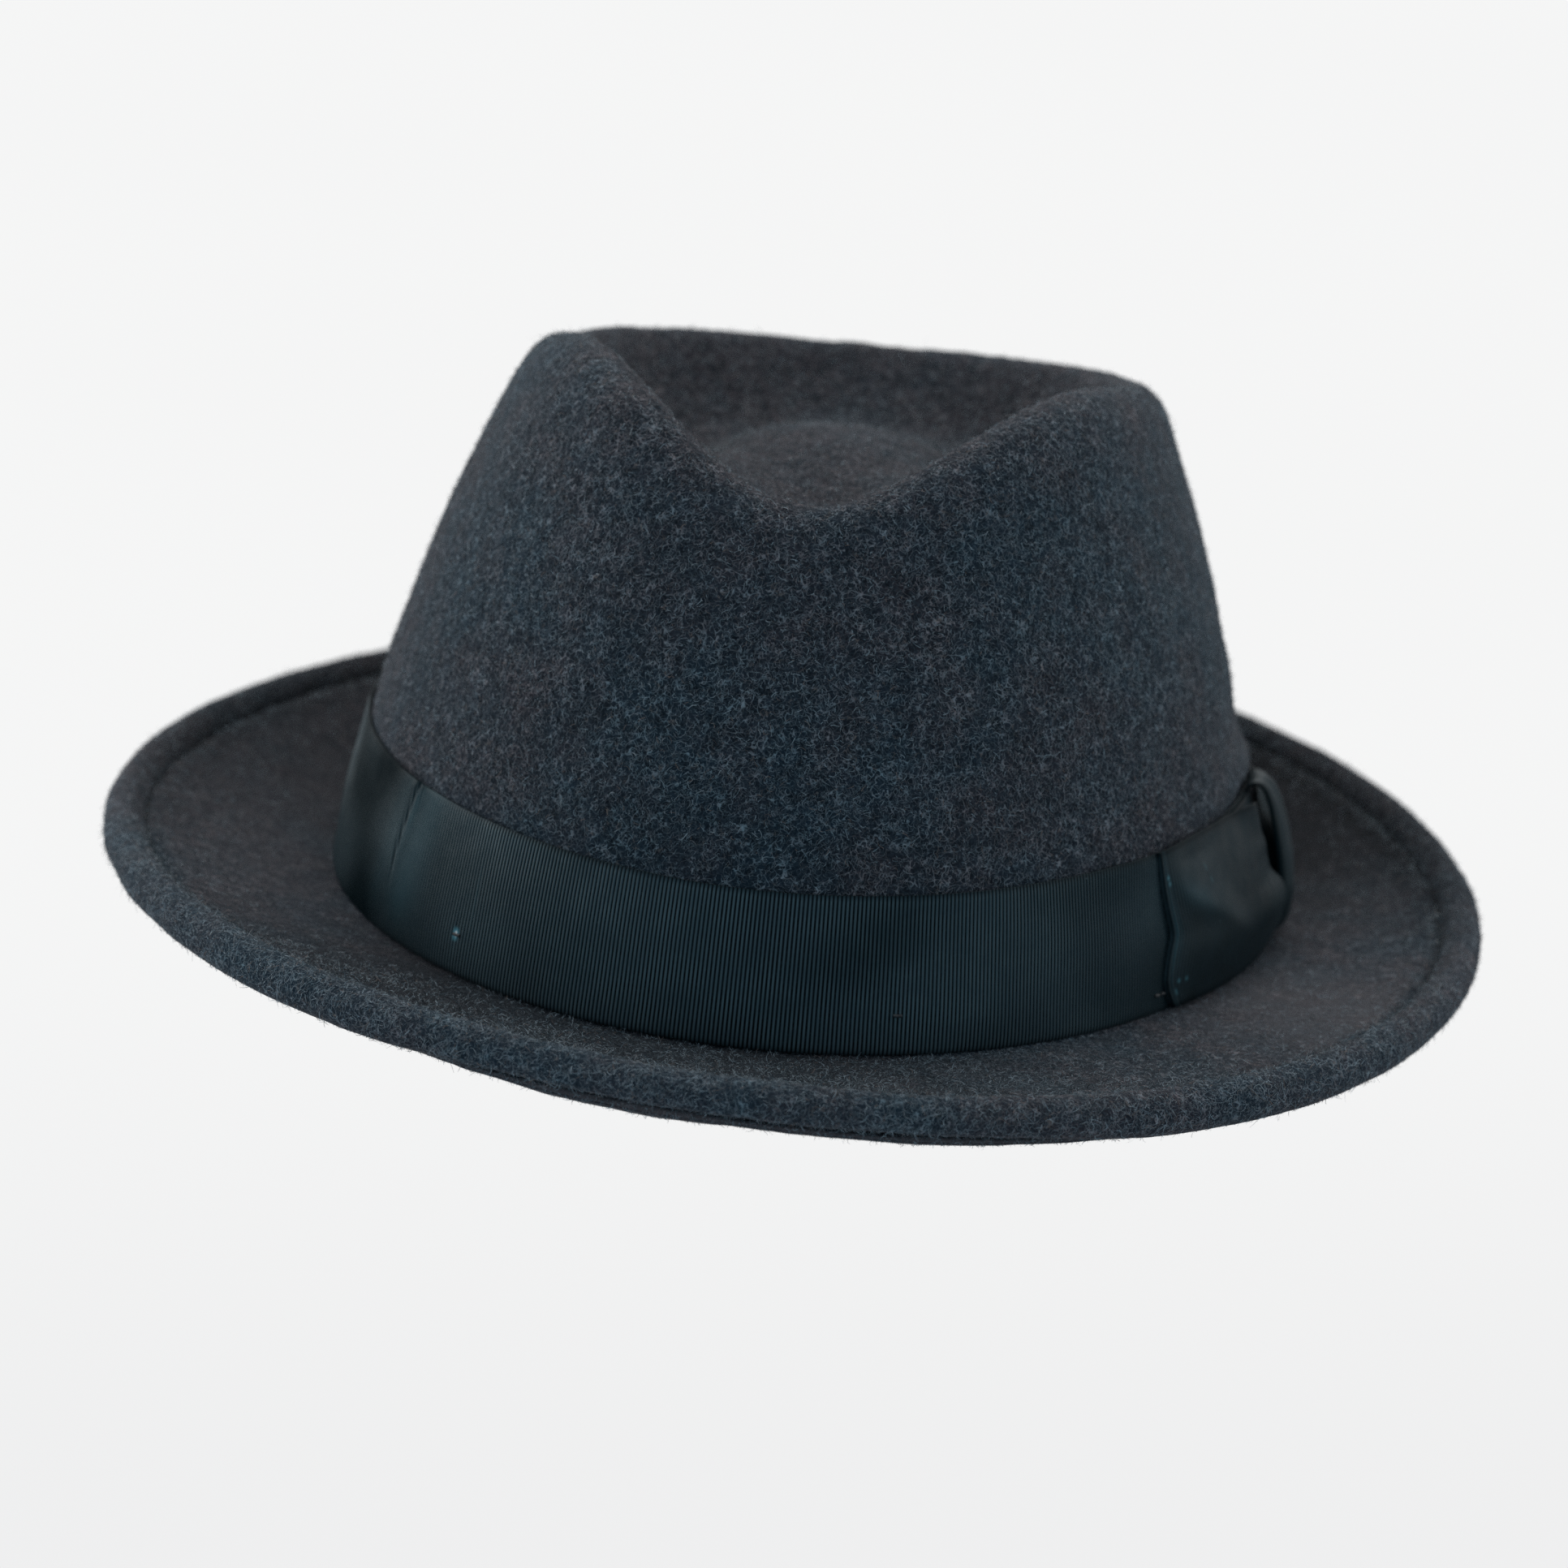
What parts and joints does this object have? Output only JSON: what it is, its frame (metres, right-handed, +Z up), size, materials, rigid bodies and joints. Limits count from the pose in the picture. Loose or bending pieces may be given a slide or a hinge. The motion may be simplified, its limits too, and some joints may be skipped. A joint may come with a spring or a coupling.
{
  "type": "fedora hat",
  "caption": "Felt fedora with a teardrop-creased crown, rolled brim edge, grosgrain hatband with a flat side bow, leather sweatband and satin lining.",
  "frame": {"origin": "centre of the head opening, at the level where the brim breaks away from the crown", "axes": "+Z up through the crown, -Y towards the front of the hat, +X towards the wearer's left, the side with the bow"},
  "size_m": [0.2656, 0.2957, 0.1129],
  "materials": {
    "felt": "pressed wool felt, fibrous and matt",
    "ribbon": "corded grosgrain with a soft sheen",
    "dark_thread": "sewing thread",
    "sweatband_leather": "thin grained leather, slightly polished",
    "pale_thread": "sewing thread",
    "dark_tape": "plain woven tape",
    "reed_plastic": "extruded reed",
    "satin": "satin weave with a bright sheen",
    "piping": "bias-cut satin over cord",
    "ticket_paper": "uncoated card",
    "label_fabric": "woven ribbon label, blank"
  },
  "bodies": {
    "hat": {"felt_body": "felt", "hatband": "ribbon", "bow_front_loop": "ribbon", "bow_rear_loop": "ribbon", "bow_knot": "ribbon", "bow_tacks": "dark_thread", "band_tacks": "dark_thread", "sweatband_reed": "reed_plastic", "reed_tape": "dark_tape", "lining_wall": "satin", "lining_tip": "satin", "lining_piping": "piping", "care_label": "label_fabric"},
    "brim_front": {"front_brim": "felt"},
    "sweatband_turnout": {"sweatband": "sweatband_leather", "sweatband_stitching": "pale_thread", "sweatband_seam_tape": "dark_tape", "sweatband_bow": "ribbon", "size_tag": "ticket_paper"}
  },
  "joints": [
    {"name": "brim_snap", "type": "hinge", "parent": "hat", "child": "brim_front", "pos_m": [0, -0.107, -0.004], "axis": [1, 0, 0], "range_deg": [0, 25], "stiffness_Nm_per_rad": 0.8},
    {"name": "sweatband_turn", "type": "slide", "parent": "hat", "child": "sweatband_turnout", "axis": [0, 0, -1], "range_m": [0, 0.031], "stiffness_N_per_m": 40}
  ]
}
